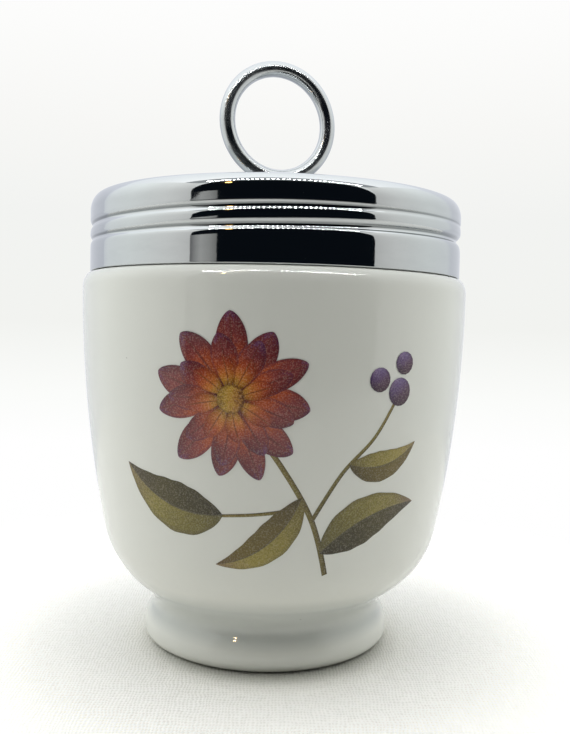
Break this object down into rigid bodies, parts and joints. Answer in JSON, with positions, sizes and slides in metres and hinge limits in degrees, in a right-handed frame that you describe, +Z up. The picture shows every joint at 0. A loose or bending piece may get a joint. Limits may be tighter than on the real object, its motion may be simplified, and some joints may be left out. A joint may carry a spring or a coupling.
{
  "type": "egg coddler",
  "caption": "Round footed porcelain cup with a threaded neck, a domed metal screw lid and an upright lifting ring.",
  "frame": {"origin": "middle of the foot's standing face, on the cup's axis", "axes": "+Z up along the cup's axis; the decorated front faces -Y; the lifting ring stands upright, turned 20 degrees about Z from the XZ plane"},
  "size_m": [0.0662, 0.0662, 0.1002],
  "materials": {
    "porcelain": null,
    "chrome": "polished chrome plate on pressed brass",
    "ring_chrome": "polished chrome plate on wire",
    "washer_brass": "plain turned brass, slightly dull"
  },
  "bodies": {
    "cup": {"cup": "porcelain"},
    "washer": {"stud_washer": "washer_brass"},
    "lid": {"lid_shell": "chrome"},
    "ring": {"lifting_ring": "ring_chrome", "ring_stud": "ring_chrome"}
  },
  "joints": [
    {"name": "lid_lift", "type": "slide", "parent": "cup", "child": "washer", "axis": [0, 0, 1], "range_m": [0, 0.0176]},
    {"name": "lid_turn", "type": "hinge", "parent": "washer", "child": "lid", "pos_m": [0, 0, 0.0783], "axis": [0, 0, 1], "range_deg": [0, 2520]},
    {"name": "ring_swivel", "type": "hinge", "parent": "lid", "child": "ring", "pos_m": [0, 0, 0.0783], "axis": [0, 0, 1], "continuous": true}
  ],
  "couplings": [
    {"joint": "lid_lift", "follows": "lid_turn", "m_per_rad": 0.00039789}
  ]
}
